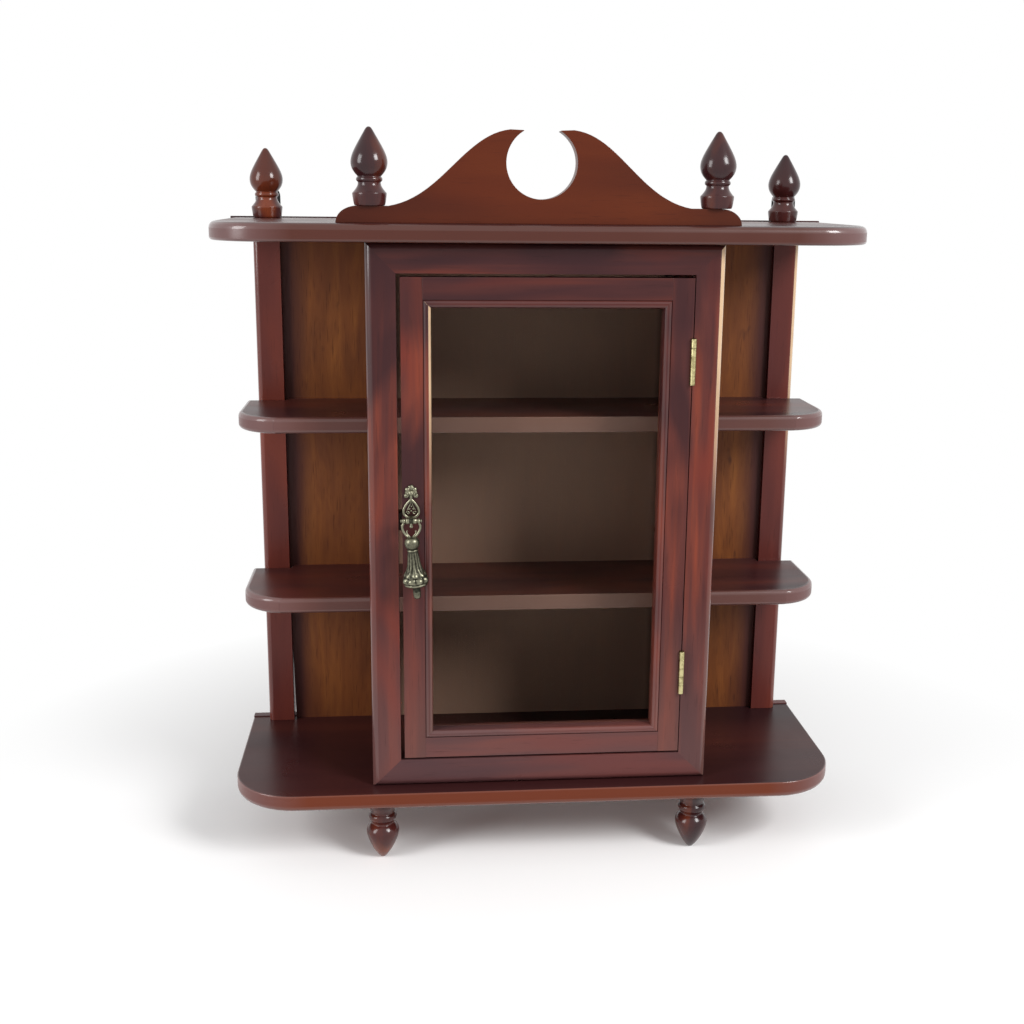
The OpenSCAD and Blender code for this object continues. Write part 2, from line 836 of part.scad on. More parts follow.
top_board();
bottom_board();
top_back_strip();
bottom_back_strip();
back_panel();
post(-1);  // post_left
post(1);  // post_right
case_side(-1);  // case_side_left
case_side(1);  // case_side_right
face_piece("left");  // face_stile_left
face_piece("right");  // face_stile_right
face_piece("top");  // face_rail_top
face_piece("bottom");  // face_rail_bottom
inner_shelf(upper_shelf_height);  // inner_shelf_upper
inner_shelf(lower_shelf_height);  // inner_shelf_lower
side_shelf(-1, upper_shelf_height);  // side_shelf_upper_left
side_shelf(1, upper_shelf_height);  // side_shelf_upper_right
side_shelf(-1, lower_shelf_height);  // side_shelf_lower_left
side_shelf(1, lower_shelf_height);  // side_shelf_lower_right
pediment();
finial(finial_middle - inner_finial_offset, pediment_middle, top_z + landing_height);  // finial_inner_left
finial(finial_middle + inner_finial_offset, pediment_middle, top_z + landing_height);  // finial_inner_right
finial(finial_middle - outer_finial_offset, outer_finial_depth, top_z);  // finial_outer_left
finial(finial_middle + outer_finial_offset, outer_finial_depth, top_z);  // finial_outer_right
pendant(-pendant_offset, front_pendant_depth);  // pendant_front_left
pendant(pendant_offset, front_pendant_depth);  // pendant_front_right
pendant(-pendant_offset, rear_pendant_depth);  // pendant_rear_left
pendant(pendant_offset, rear_pendant_depth);  // pendant_rear_right
hanger_plate(-1);  // hanger_plate_left
hanger_plate(1);  // hanger_plate_right
hanger_screws();
door_stile(-1);  // door_stile_left
door_stile(1);  // door_stile_right
door_rail(pane_high, door_high);  // door_rail_top
door_rail(door_low, pane_low);  // door_rail_bottom
bead("left");  // bead_left
bead("right");  // bead_right
bead("top");  // bead_top
bead("bottom");  // bead_bottom
stop("left");  // stop_left
stop("right");  // stop_right
stop("top");  // stop_top
stop("bottom");  // stop_bottom
glass_pane();
hinge_leaf(1, upper_hinge_z, 0, pin_radius);  // hinge_upper_frame_leaf
hinge_leaf(-1, upper_hinge_z, 1, pin_radius + pin_play);  // hinge_upper_door_leaf
hinge_pin(upper_hinge_z);  // hinge_upper_pin
hinge_leaf(1, lower_hinge_z, 0, pin_radius);  // hinge_lower_frame_leaf
hinge_leaf(-1, lower_hinge_z, 1, pin_radius + pin_play);  // hinge_lower_door_leaf
hinge_pin(lower_hinge_z);  // hinge_lower_pin
hinge_screws(1);  // hinge_screws_frame
hinge_screws(-1);  // hinge_screws_door
pull_back_plate();
pull_pin();
pull_tassel();
pull_screw();
catch_magnet();
catch_strike();
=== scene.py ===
# %% [markdown]
# # A small curio cabinet, dressed in Blender
# The cabinet is a glazed case between two boards, with open shelves on both sides, a swan-neck
# pediment and turned finials. Its exact solids come from CAD as a fixed frame. This lesson gives
# every piece its softened edges, its finish and its small details, one step at a time.

# %% Load the frame
import math
import random
import bmesh
import bpy
from mathutils import Matrix, Vector


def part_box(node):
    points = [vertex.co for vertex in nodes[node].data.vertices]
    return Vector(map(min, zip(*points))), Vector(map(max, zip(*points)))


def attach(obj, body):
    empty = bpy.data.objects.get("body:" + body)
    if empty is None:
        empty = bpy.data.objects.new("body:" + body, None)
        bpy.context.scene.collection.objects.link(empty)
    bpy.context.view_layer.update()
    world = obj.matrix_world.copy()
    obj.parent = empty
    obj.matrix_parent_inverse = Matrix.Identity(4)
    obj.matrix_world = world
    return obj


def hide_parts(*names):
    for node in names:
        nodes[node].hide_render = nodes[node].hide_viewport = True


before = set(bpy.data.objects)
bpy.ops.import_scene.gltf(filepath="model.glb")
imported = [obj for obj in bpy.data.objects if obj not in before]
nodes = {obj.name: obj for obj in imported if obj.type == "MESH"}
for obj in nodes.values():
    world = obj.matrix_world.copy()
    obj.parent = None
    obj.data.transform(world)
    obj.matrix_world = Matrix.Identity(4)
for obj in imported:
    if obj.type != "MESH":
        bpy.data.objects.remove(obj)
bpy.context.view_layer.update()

# %% [markdown]
# ## A maker's units
# Blender works in metres and so does the frame, but a cabinet maker thinks in millimetres. A
# small helper turns one into the other, so that the sizes below read like a maker's notes.

# %% Millimetres
def mm(value):
    return value / 1000


print("the case stands", round(mm(625), 3), "m tall, or 625 mm")

# %% [markdown]
# ## The camera
# The view is from a little above and to the left. A camera looks along its own -Z axis, so an
# upright camera starts at 90 degrees around X. Less than 90 looks down. The shift slides the
# picture without turning the camera, which keeps the upright edges as they are.

# %% Camera
camera_data = bpy.data.cameras.new("camera")
camera_data.lens = 44.568
camera_data.sensor_width = 36
camera_data.shift_x = -0.0144
camera_data.shift_y = -0.0410
camera_data.clip_start = 0.05
camera = bpy.data.objects.new("camera", camera_data)
camera.location = (-0.10518, -1.08935, 0.57689)
camera.rotation_euler = [math.radians(a) for a in (77.6175, -0.5903, -4.9258)]
bpy.context.scene.collection.objects.link(camera)
bpy.context.scene.camera = camera
bpy.context.scene.view_settings.view_transform = "Standard"
print("camera at", [round(c, 3) for c in camera.location])

# %% [markdown]
# ## Sums with shader sockets
# A material is a graph of nodes. Written out link by link, even a short sum takes many lines, so
# a small class stands for one socket and turns + - and * into Math nodes. The reflected forms,
# such as __rsub__, make 1 - mask work too. Colours go through Mix nodes, because Math nodes turn
# them grey.

# %% A socket that can be used in sums
class Wire:
    def __init__(self, finish, socket):
        self.finish = finish
        self.socket = socket

    def sum(self, operation, a, b, clamp=False):
        settings = {"operation": operation, "use_clamp": clamp}
        return self.finish.node("ShaderNodeMath", settings, {0: a, 1: b})

    def __add__(self, other):
        return self.sum("ADD", self, other)

    def __radd__(self, other):
        return self.sum("ADD", other, self)

    def __sub__(self, other):
        return self.sum("SUBTRACT", self, other)

    def __rsub__(self, other):
        return self.sum("SUBTRACT", other, self)

    def __mul__(self, other):
        return self.sum("MULTIPLY", self, other)

    def __rmul__(self, other):
        return self.sum("MULTIPLY", other, self)

    def clamped(self):
        return self.sum("ADD", self, 0.0, clamp=True)


print("methods of a wire:", [name for name, part in vars(Wire).items() if callable(part)])

# %% [markdown]
# ## One finish, one material
# Every finish here starts from the Principled BSDF. The class keeps the node tree and the shader
# together. Its node method makes any node: settings first, such as a Math node's operation or a
# ramp's stops, then values or wires for the sockets. What never varies is typed on the shader
# itself.

# %% A finish with a method that makes any node
class Finish:
    def __init__(self, name):
        self.material = bpy.data.materials.new(name)
        self.material.use_nodes = True
        self.tree = self.material.node_tree
        self.tree.nodes.clear()
        self.output = self.tree.nodes.new("ShaderNodeOutputMaterial")
        self.shader = self.tree.nodes.new("ShaderNodeBsdfPrincipled")
        self.surface = Wire(self, self.shader.outputs[0])
        self.show(self.surface)

    def show(self, surface):
        self.feed(self.output, {0: surface})

    def feed(self, node, sockets):
        for key, value in sockets.items():
            socket = node.inputs[key]
            if isinstance(value, Wire):
                self.tree.links.new(value.socket, socket)
            elif socket.type == "RGBA":
                socket.default_value = (*value, 1)
            else:
                socket.default_value = value

    def node(self, kind, settings=None, sockets=None, out=0):
        node = self.tree.nodes.new(kind)
        for key, value in (settings or {}).items():
            if key == "stops":
                ramp = node.color_ramp
                while len(ramp.elements) < len(value):
                    ramp.elements.new(0.5)
                for element, (place, colour) in zip(ramp.elements, value):
                    element.position = place
                    element.color = (*colour, 1)
            else:
                setattr(node, key, value)
        self.feed(node, sockets or {})
        return Wire(self, node.outputs[out])

    def set(self, **sockets):
        self.feed(self.shader, {key.replace("_", " "): value for key, value in sockets.items()})

    def place(self, scale=(1, 1, 1)):
        coords = self.node("ShaderNodeTexCoord", {}, {}, "Object")
        return self.node("ShaderNodeMapping", {}, {"Vector": coords, "Scale": scale})

    def noise(self, where, scale, detail=3, rough=0.5, distort=0.0, w=None):
        sockets = {"Vector": where, "Scale": scale, "Detail": detail, "Roughness": rough,
                   "Distortion": distort}
        if w is None:
            return self.node("ShaderNodeTexNoise", {"noise_dimensions": "3D"}, sockets)
        return self.node("ShaderNodeTexNoise", {"noise_dimensions": "4D"}, {**sockets, "W": w})

    def mix(self, mask, a, b):
        settings = {"data_type": "RGBA", "blend_type": "MIX", "clamp_factor": True}
        return self.node("ShaderNodeMix", settings, {0: mask, 6: a, 7: b}, 2)

    def ramp(self, value, stops):
        return self.node("ShaderNodeValToRGB", {"stops": stops}, {0: value})

    def between(self, value, low, high, to_low=0.0, to_high=1.0):
        sockets = {0: value, 1: low, 2: high, 3: to_low, 4: to_high}
        return self.node("ShaderNodeMapRange", {"clamp": True}, sockets)

    def attribute(self, name):
        return self.node("ShaderNodeAttribute", {"attribute_name": name}, {}, 2)

    def axis(self, number):
        return self.node("ShaderNodeSeparateXYZ", {}, {0: self.place()}, number)

    def size(self, value):
        return self.node("ShaderNodeMath", {"operation": "ABSOLUTE"}, {0: value})

    def bump(self, height, strength, distance):
        sockets = {"Height": height, "Strength": strength, "Distance": distance}
        return self.node("ShaderNodeBump", {}, sockets)


print("methods of a finish:", [name for name in vars(Finish) if not name.startswith("_")])

# %% [markdown]
# ## Stained mahogany
# The cabinet is a pale hardwood under a red-brown toner and a satin lacquer. The toner hides most
# of the grain, so what is left is a soft figure, fine pores along the grain and slow drifts of
# colour. A board's number shifts the pattern, so no two boards are alike. Three masks are painted
# on faces. The edge mask gives the shaped edges a tone of their own, which is painted light: the
# front-lit board edges are warmer and lighter, the shelf edges paler and greyer as a painted
# sheen, and the rounded ends of the boards carry a painted pale reflection. The arris mask makes
# the sanded corners glossier. The third mask lays a painted cream highlight along a few rounded
# corners. The front also has painted shade near the top, under the top board, and a painted
# greyish reflection of the floor towards the bottom. Noise is stretched along the grain by a scale
# below 1 on that axis. Every wood gets the same recipe and differs in its five tones, and the
# front also has a finer figure.

# %% A colour as it looks on a screen
def colour(r, g, b):
    def linear(v):
        v = v / 255
        return v / 12.92 if v <= 0.04045 else ((v + 0.055) / 1.055) ** 2.4
    return (linear(r), linear(g), linear(b))


print("a middle grey on the screen is", round(colour(128, 128, 128)[0], 3), "to a shader")


# %% A scale that stretches noise along the grain
def stretched(grain, along):
    return tuple(along if axis == grain else 1 for axis in "xyz")


print("scale for a grain along z:", stretched("z", 0.06))

# %% Mahogany with the grain along one axis
# The cream of the painted highlight on a few rounded corners.
highlight_cream = colour(205, 172, 136)
pore_brown = colour(34, 12, 10)
# A painted pale reflection on the rounded ends of the board edges.
end_reflection_tone = colour(116, 88, 88)
gable_middle = mm(-6)


def mahogany(name, grain, dark, middle, warm, deep, glow, edge=None, sheen=0.3, specular=0.2,
             coat=0.0, coat_rough=0.1, darker_above=None, floor_reflection=None, patch=20, mottle=1.0, dim=None,
             figured=30):
    f = Finish(name)
    board = f.attribute("board") * 7.0
    grained = f.place(stretched(grain, 0.06))
    figure = f.noise(grained, figured, 3, 0.5, 0.5, board)
    pores = f.noise(grained, 700, 2, 0.6, 0.0, board)
    patches = f.place(stretched(grain, 0.26))
    drift = f.noise(patches, patch, 2, 0.55, 0.5, board)
    tone = f.ramp(figure, [(0.3, colour(*dark)), (0.5, colour(*middle)), (0.7, colour(*warm))])
    tone = f.mix(f.between(drift, 0.49, 0.38, 0.0, 0.85 * mottle), tone, colour(*deep))
    tone = f.mix(f.between(drift, 0.52, 0.63, 0.0, 0.8 * mottle), tone, colour(*glow))
    across, height = f.axis(0), f.axis(2)
    # Darker above a given height. On the case and the door this is painted shade at the top.
    if darker_above:
        high = f.between(height + drift * 0.02, darker_above, darker_above + 0.024, 0.0, 0.6)
        tone = f.mix(high, tone, colour(*deep))
    # Towards the bottom a painted greyish reflection of the pale floor.
    if floor_reflection:
        low = f.between(height + drift * 0.08, 0.28, 0.12, 0.0, 0.6)
        tone = f.mix(low, tone, colour(*floor_reflection))
    if dim:
        off_middle = f.size(across - gable_middle)
        tone = f.mix(f.between(off_middle, dim, dim * 1.8, 0.0, 0.7), tone, colour(*deep))
    tone = f.mix(f.between(pores, 0.4, 0.28, 0.0, 0.3), tone, pore_brown)
    # Painted light on the edge faces: a warmer, lighter tone on the front-lit edges and a painted
    # sheen on the shelves.
    if edge:
        tone = f.mix(f.attribute("edge") * 0.8, tone, colour(*edge))
        # A painted mauve reflection where the edges turn round at the ends.
        end_reflection_mask = f.between(f.size(across), 0.2, 0.245, 0.0, 0.6)
        tone = f.mix(f.attribute("edge") * end_reflection_mask, tone, end_reflection_tone)
    # A painted cream highlight, strong above 0.42 m and almost gone below 0.32 m.
    ragged = f.between(f.noise(patches, 90, 3, 0.6, 0.0, board), 0.34, 0.5, 0.7, 1.0)
    painted_highlight = f.attribute("rubbed") * ragged * f.between(height, 0.32, 0.42, 0.03, 1.0)
    f.set(Base_Color=f.mix(painted_highlight, tone, highlight_cream))
    smudge = f.noise(f.place(), 15, 3, 0.6, 0.2)
    f.set(Roughness=f.between(smudge, 0.3, 0.75, sheen - 0.04, sheen + 0.08))
    f.set(Coat_Weight=(f.attribute("arris") * 0.6 + coat).clamped())
    f.set(Normal=f.bump(pores, 0.12, 0.00012))
    f.set(IOR=1.5, Specular_IOR_Level=specular, Coat_Roughness=coat_rough)
    return f.material


print("the gable is dimmed away from x =", gable_middle)


# %% Five tones for each kind of piece
def tones(dark, middle, warm, deep, glow):
    return {"dark": dark, "middle": middle, "warm": warm, "deep": deep, "glow": glow}


front = tones((62, 31, 33), (88, 44, 39), (122, 56, 40), (50, 25, 28), (112, 46, 34))
front["figured"] = 85
posts = tones((84, 38, 34), (104, 49, 42), (114, 54, 43), (62, 28, 31), (130, 58, 39))
boards = tones((52, 25, 26), (62, 30, 29), (72, 35, 31), (42, 21, 24), (84, 38, 30))
gable = tones((74, 31, 17), (84, 35, 18), (94, 42, 20), (60, 24, 16), (100, 47, 22))
shelf = tones((60, 30, 31), (70, 37, 36), (82, 42, 38), (46, 24, 27), (92, 44, 36))
spun = tones((44, 17, 19), (64, 26, 25), (84, 35, 27), (36, 15, 20), (136, 62, 24))
inner = tones((76, 42, 42), (92, 52, 50), (104, 58, 52), (60, 34, 36), (114, 60, 50))
print("tones of the front:", front)

# %% One mahogany for each direction and place
# Heights above which the wood darkens: painted shade at the top of the case and the door, and a
# darker top on the finials.
case_shade_from, door_shade_from, finial_dark_from = 0.498, 0.46, 0.58
# The colours given for the lower front are a painted greyish reflection of the floor.
wood_across = mahogany("mahogany across", "x", darker_above=case_shade_from, floor_reflection=(90, 62, 64), **front)
wood_upright = mahogany("mahogany upright", "z", darker_above=case_shade_from, floor_reflection=(104, 72, 70), **front)
door_across = mahogany("mahogany door across", "x", darker_above=door_shade_from, floor_reflection=(100, 74, 74), **front)
door_upright = mahogany("mahogany door upright", "z", darker_above=door_shade_from, floor_reflection=(116, 78, 72),
                        **front)
wood_post = mahogany("mahogany post", "z", mottle=0.55, **posts)
# The edge colours are painted light: warmer front-lit board edges and a painted pale sheen on the
# shelf edges.
wood_top = mahogany("mahogany top board", "x", specular=0.4, edge=(72, 26, 8), patch=6, **boards)
wood_bottom = mahogany("mahogany bottom board", "x", edge=(112, 50, 24), patch=6, **boards)
wood_gable = mahogany("mahogany gable", "x", specular=0.14, patch=7, dim=0.08, **gable)
wood_shelf = mahogany("mahogany shelf", "x", edge=(100, 66, 60), **shelf)
wood_inner = mahogany("mahogany inner shelf", "x", edge=(144, 104, 96), **inner)
wood_turned = mahogany("mahogany turned", "z", sheen=0.16, specular=0.25, coat=0.32,
                       coat_rough=0.2, darker_above=finial_dark_from, patch=30, mottle=0.65, **spun)
print("wood finishes:", [m.name for m in bpy.data.materials if m.name.startswith("mahogany")])

# %% [markdown]
# ## Stained plywood
# The back is one thin sheet with an open, coarse grain that runs upright. It took the stain
# golden brown. Its pores are short dark dashes. Beside the posts and the case the sheet darkens
# in bands, painted shade with some darker stain, and inside the case the strips beside its sides
# are painted almost black as shade. The bands are measured sideways from the cabinet's middle.
# Inside the case, between its two sides, the sheet is given a paler tone, which is painted
# light. That is a guess, and it makes up for the light that the reflections of real glass add.

# %% Plywood
case_side = 0.137


def plywood():
    f = Finish("plywood back")
    figure = f.noise(f.place((1, 1, 0.16)), 60, 4, 0.6, 0.8)
    streak = f.noise(f.place((1, 1, 0.015)), 170, 3, 0.6)
    dashes = f.noise(f.place((1, 1, 0.06)), 900, 1, 0.5)
    clouds = f.noise(f.place((1, 1, 0.5)), 22, 3)
    knots = f.noise(f.place((1, 1, 0.4)), 70, 2, 0.5)
    tone = f.ramp(figure, [(0.3, colour(100, 56, 28)), (0.5, colour(122, 70, 34)),
                           (0.72, colour(142, 86, 40))])
    tone = f.mix(f.between(streak, 0.38, 0.64, 0.0, 0.28), tone, colour(104, 56, 30))
    tone = f.mix(f.between(dashes, 0.38, 0.28, 0.0, 0.5), tone, colour(62, 32, 18))
    tone = f.mix(f.between(clouds, 0.42, 0.68, 0.0, 0.5), tone, colour(92, 48, 30))
    tone = f.mix(f.between(knots, 0.29, 0.22, 0.0, 0.6), tone, colour(56, 30, 22))
    across = f.size(f.axis(0))
    ragged = f.noise(f.place((1, 1, 0.1)), 90, 2) * 0.006
    # Painted shade with some darker stain in bands beside the posts and the case, and painted
    # shade in the corners inside the case.
    shade_and_stain_by_post = f.between(across + ragged, 0.204, 0.222, 0.0, 0.88)
    shade_and_stain_by_case = f.between(across - ragged, 0.158, 0.143, 0.0, 0.4)
    shade_in_case_corner = f.between(across, 0.118, 0.127, 0.0, 0.85)
    inside = f.between(across, case_side + 0.001, case_side)
    # Inside the case a paler tone, painted light that stands in for the reflections on the glass.
    painted_glass_light = f.between(across, case_side, case_side - 0.001, 0.0, 0.7)
    tone = f.mix(painted_glass_light, tone, colour(194, 150, 136))
    tone = f.mix(shade_and_stain_by_post, tone, colour(58, 26, 28))
    tone = f.mix(shade_in_case_corner * inside, tone, colour(26, 12, 14))
    f.set(Base_Color=f.mix(shade_and_stain_by_case * (1 - inside), tone, colour(80, 42, 26)))
    f.set(Roughness=f.between(dashes, 0.2, 0.6, 0.62, 0.46), Specular_IOR_Level=0.2)
    f.set(Normal=f.bump(dashes + streak, 0.2, 0.0002))
    return f.material


ply = plywood()
print("plywood ready")

# %% [markdown]
# ## Metals, glass and the small parts
# Brass is a metal with a yellow base colour. The hinges are bright with dull scratches. The pull
# is antiqued: a dark green-brown patina fills the hollows and the high points are rubbed bright.
# Pointiness from the Geometry node finds the high points, and a noise breaks the border up.

# %% Brass, bright and antiqued
def bright_brass():
    f = Finish("hinge brass")
    scratch = f.noise(f.place((1, 1, 0.2)), 900, 3, 0.7)
    stain = f.noise(f.place(), 240, 3, 0.6)
    shade = f.mix(f.between(stain, 0.42, 0.75), colour(206, 196, 146), colour(112, 98, 62))
    f.set(Base_Color=shade, Metallic=1.0)
    f.set(Roughness=f.between(scratch, 0.3, 0.7, 0.22, 0.4))
    f.set(Normal=f.bump(scratch, 0.08, 0.0001))
    return f.material


def antique_brass():
    f = Finish("antique brass")
    point = f.node("ShaderNodeNewGeometry", {}, {}, "Pointiness")
    cloud = f.noise(f.place(), 520, 4, 0.6)
    rubbed = f.between(point + (cloud - 0.5) * 0.08, 0.49, 0.56)
    aged = f.mix(f.between(cloud, 0.35, 0.7), colour(36, 36, 29), colour(70, 69, 57))
    f.set(Base_Color=f.mix(rubbed, aged, colour(134, 132, 112)))
    f.set(Metallic=f.between(rubbed, 0, 1, 0.85, 1.0))
    f.set(Roughness=f.between(rubbed, 0, 1, 0.5, 0.28))
    f.set(Normal=f.bump(cloud, 0.15, 0.0002))
    return f.material


brass = bright_brass()
old_brass = antique_brass()
print("brass finishes ready")

# %% [markdown]
# Glass lets light through and bends it twice, in and out, so a thin pane hardly moves what is
# behind it. A plain Transparent shader for shadow rays and bounced rays lets the light in to the
# shelves. Each ray either reflects or goes through, and over a dark inside that choice shows as
# speckle. So the IOR is far lower than the 1.5 of real glass, and the pane reflects almost
# nothing.

# %% Two shaders in one, chosen by the kind of ray
def ray_is(f, *kinds):
    total = f.node("ShaderNodeLightPath", {}, {}, kinds[0])
    for kind in kinds[1:]:
        total = total + f.node("ShaderNodeLightPath", {}, {}, kind)
    return total.clamped()


def blend(f, mask, first, second):
    return f.node("ShaderNodeMixShader", {}, {0: mask, 1: first, 2: second})


print("helpers for rays:", ray_is.__name__, "and", blend.__name__)

# %% Glass
pane_ior = 1.04


def pane_glass():
    f = Finish("pane glass")
    f.set(Base_Color=colour(236, 240, 236), Roughness=0.0, IOR=pane_ior, Transmission_Weight=1.0)
    clear = f.node("ShaderNodeBsdfTransparent", {}, {0: colour(232, 238, 234)})
    light_passes = ray_is(f, "Is Shadow Ray", "Is Diffuse Ray")
    f.show(blend(f, light_passes, f.surface, clear))
    return f.material


glass = pane_glass()
print("pane glass bends light by an IOR of", pane_ior)


# %% Black paint, zinc and moulded plastic
def plain_finish(name, base, other, rough, metal=0.0):
    f = Finish(name)
    cloud = f.noise(f.place(), 300, 4, 0.6)
    f.set(Base_Color=f.mix(f.between(cloud, 0.4, 0.7), colour(*base), colour(*other)))
    f.set(Metallic=metal, Roughness=f.between(cloud, 0.3, 0.7, rough, rough + 0.12))
    f.set(Normal=f.bump(cloud, 0.1, 0.0002))
    return f.material


black_paint = plain_finish("black paint", (20, 20, 22), (36, 34, 34), 0.4)
zinc = plain_finish("zinc plate", (150, 152, 156), (120, 120, 122), 0.3, metal=1.0)
brown_plastic = plain_finish("brown plastic", (84, 52, 34), (70, 42, 28), 0.45)
print("materials made:", len(bpy.data.materials))

# %% [markdown]
# ## Softening sawn wood
# A CAD solid has perfectly sharp edges and real wood never has. The frame's meshes stay as they
# are. A copy is merged, its flat faces are joined again, and then the edges that the maker sanded
# are bevelled. The bevelled faces get an attribute called arris, which the wood finish reads, and
# so do the faces that CAD had already rounded.

# %% Merge a copy of a CAD mesh
def copy_of(node):
    bm = bmesh.new()
    bm.from_mesh(nodes[node].data)
    bmesh.ops.remove_doubles(bm, verts=bm.verts, dist=1e-6)
    bmesh.ops.dissolve_limit(bm, angle_limit=math.radians(0.5), verts=bm.verts, edges=bm.edges)
    return bm


trial = copy_of("post_left")
print("faces of a post:", len(nodes["post_left"].data.polygons), "and merged:", len(trial.faces))


# %% Where an edge is, how it runs and how sharp it is
def middle(edge):
    return (edge.verts[0].co + edge.verts[1].co) / 2


def run_of(edge):
    return edge.verts[0].co - edge.verts[1].co


def sharp(edge, degrees=35):
    return len(edge.link_faces) == 2 and edge.calc_face_angle(0) > math.radians(degrees)


print("sharp edges of a post:", sum(1 for e in trial.edges if sharp(e)), "of", len(trial.edges))


# %% Round some of its edges
def round_edges(bm, test, radius, segments, clamp=True):
    arris = bm.faces.layers.float.get("arris") or bm.faces.layers.float.new("arris")
    edges = [e for e in bm.edges if sharp(e) and test(e)]
    if not edges:
        return 0
    made = bmesh.ops.bevel(bm, geom=edges, offset=radius, offset_type="OFFSET", affect="EDGES",
                           segments=segments, profile=0.5, material=-1, clamp_overlap=clamp)
    for face in made["faces"]:
        face[arris] = 1.0
    return len(edges)


print("edges rounded on the trial copy:", round_edges(trial, sharp, mm(1), 2))


# %% Mark what a face is
def mark(bm, name, test):
    layer = bm.faces.layers.float.get(name) or bm.faces.layers.float.new(name)
    for face in bm.faces:
        if test(face):
            face[layer] = 1.0


def curved(face):
    return max(abs(c) for c in face.normal) < 0.985


mark(trial, "arris", curved)
print("rounded faces of the trial copy:", sum(1 for f in trial.faces if curved(f)))
trial.free()

# %% Turn a bmesh into a piece of the cabinet
seeds = random.Random(12)
last_board = 10


def piece(bm, name, body, finish, stands_for, smooth=35, weighted=True, rounder=0):
    board = bm.faces.layers.float.get("board") or bm.faces.layers.float.new("board")
    number = seeds.random() * last_board
    for face in bm.faces:
        face[board] = number
        face.smooth = True
    mesh = bpy.data.meshes.new(name)
    bm.to_mesh(mesh)
    bm.free()
    mesh.set_sharp_from_angle(angle=math.radians(smooth))
    mesh.materials.append(finish)
    obj = bpy.data.objects.new(name, mesh)
    bpy.context.scene.collection.objects.link(obj)
    if rounder:
        smoother = obj.modifiers.new("rounder", "SUBSURF")
        smoother.levels = smoother.render_levels = rounder
    if weighted:
        normals = obj.modifiers.new("even shading", "WEIGHTED_NORMAL")
        normals.keep_sharp = True
    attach(obj, body)
    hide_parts(*stands_for)
    return obj


print("board numbers lie between 0 and", last_board)

# %% [markdown]
# ## The top and bottom boards
# Each board is a slab with two large round front corners. A cube is stretched to the board's box,
# the two upright front edges are bevelled with the corner radius, and then the long edges get
# their own softer profile: the top board is rounded over on top, the bottom board underneath.

# %% A slab the size of a CAD node
touch = 1e-5


def slab_like(low, high):
    bm = bmesh.new()
    bmesh.ops.create_cube(bm, size=1)
    bmesh.ops.scale(bm, vec=high - low, verts=bm.verts)
    bmesh.ops.translate(bm, vec=(high + low) / 2, verts=bm.verts)
    return bm


def rounded_slab(node, corner, upper, lower, finish):
    low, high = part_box(node)
    bm = slab_like(low, high)
    upright = [e for e in bm.edges if abs(run_of(e).z) > mm(5) and middle(e).y < low.y + mm(1)]
    bmesh.ops.bevel(bm, geom=upright, offset=mm(corner), offset_type="OFFSET", affect="EDGES",
                    segments=18, profile=0.5, material=-1)
    ahead = lambda e: middle(e).y < high.y - touch
    round_edges(bm, lambda e: ahead(e) and middle(e).z > high.z - touch, mm(upper), 5)
    round_edges(bm, lambda e: ahead(e) and middle(e).z < low.z + touch, mm(lower), 4)
    # The edge mask marks the faces that get the painted edge light.
    mark(bm, "edge", lambda f: abs(f.normal.z) < 0.75 or f.normal.z < -0.2)
    return piece(bm, node + "_dressed", "cabinet", finish, (node,))


top = rounded_slab("top_board", 50, 5.4, 2.4, wood_top)
bottom = rounded_slab("bottom_board", 55, 1.3, 5.2, wood_bottom)
print("boards:", len(top.data.polygons), "and", len(bottom.data.polygons), "faces")

# %% [markdown]
# ## Shelves, posts, strips and the case
# These pieces keep the exact outline that CAD gave them, with its mitres, rebates and notches.
# Only their arrises are softened, each by the amount that such a piece gets from sandpaper. The
# open shelves get more: their outer edges are rounded over above and below, until little of the
# flat edge is left. The outer corner of the case frame came from CAD already rounded.

# %% Soften the fixed woodwork
everywhere = lambda e: True
level_edge = lambda f: abs(f.normal.z) < 0.9
softened = {}


def soften(node, body, finish, radius, segments=2, test=everywhere, masks=None):
    bm = copy_of(node)
    softened[node] = round_edges(bm, test, mm(radius), segments)
    mark(bm, "arris", curved)
    for name, mask in (masks or {}).items():
        mark(bm, name, mask)
    return piece(bm, node + "_dressed", body, finish, (node,))


print("ready to soften, pieces done so far:", len(softened))

# %% Shelves
# The upright faces of every shelf are marked for the painted edge sheen.
beside_case = mm(148)
for node in ("side_shelf_upper_left", "side_shelf_upper_right", "side_shelf_lower_left",
             "side_shelf_lower_right"):
    low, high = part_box(node)
    bm = copy_of(node)
    outer = lambda e: middle(e).y < high.y - mm(1) and abs(middle(e).x) > beside_case
    over = round_edges(bm, lambda e: outer(e) and middle(e).z > high.z - touch, mm(3.6), 5, False)
    under = round_edges(bm, lambda e: outer(e) and middle(e).z < low.z + touch, mm(3.2), 5, False)
    mark(bm, "edge", level_edge)
    piece(bm, node + "_dressed", "cabinet", wood_shelf, (node,))
    print(node, "edges rounded above and below:", over, under)
for node in ("inner_shelf_upper", "inner_shelf_lower"):
    bm = copy_of(node)
    round_edges(bm, everywhere, mm(0.8), 2)
    mark(bm, "edge", level_edge)
    piece(bm, node + "_dressed", "cabinet", wood_inner, (node,))

# %% Posts, strips, sides and the case frame
level_or_upright = lambda e: min(abs(c) for c in run_of(e).xz) < 1e-4
crisp = lambda e: sharp(e, 60) and level_or_upright(e)
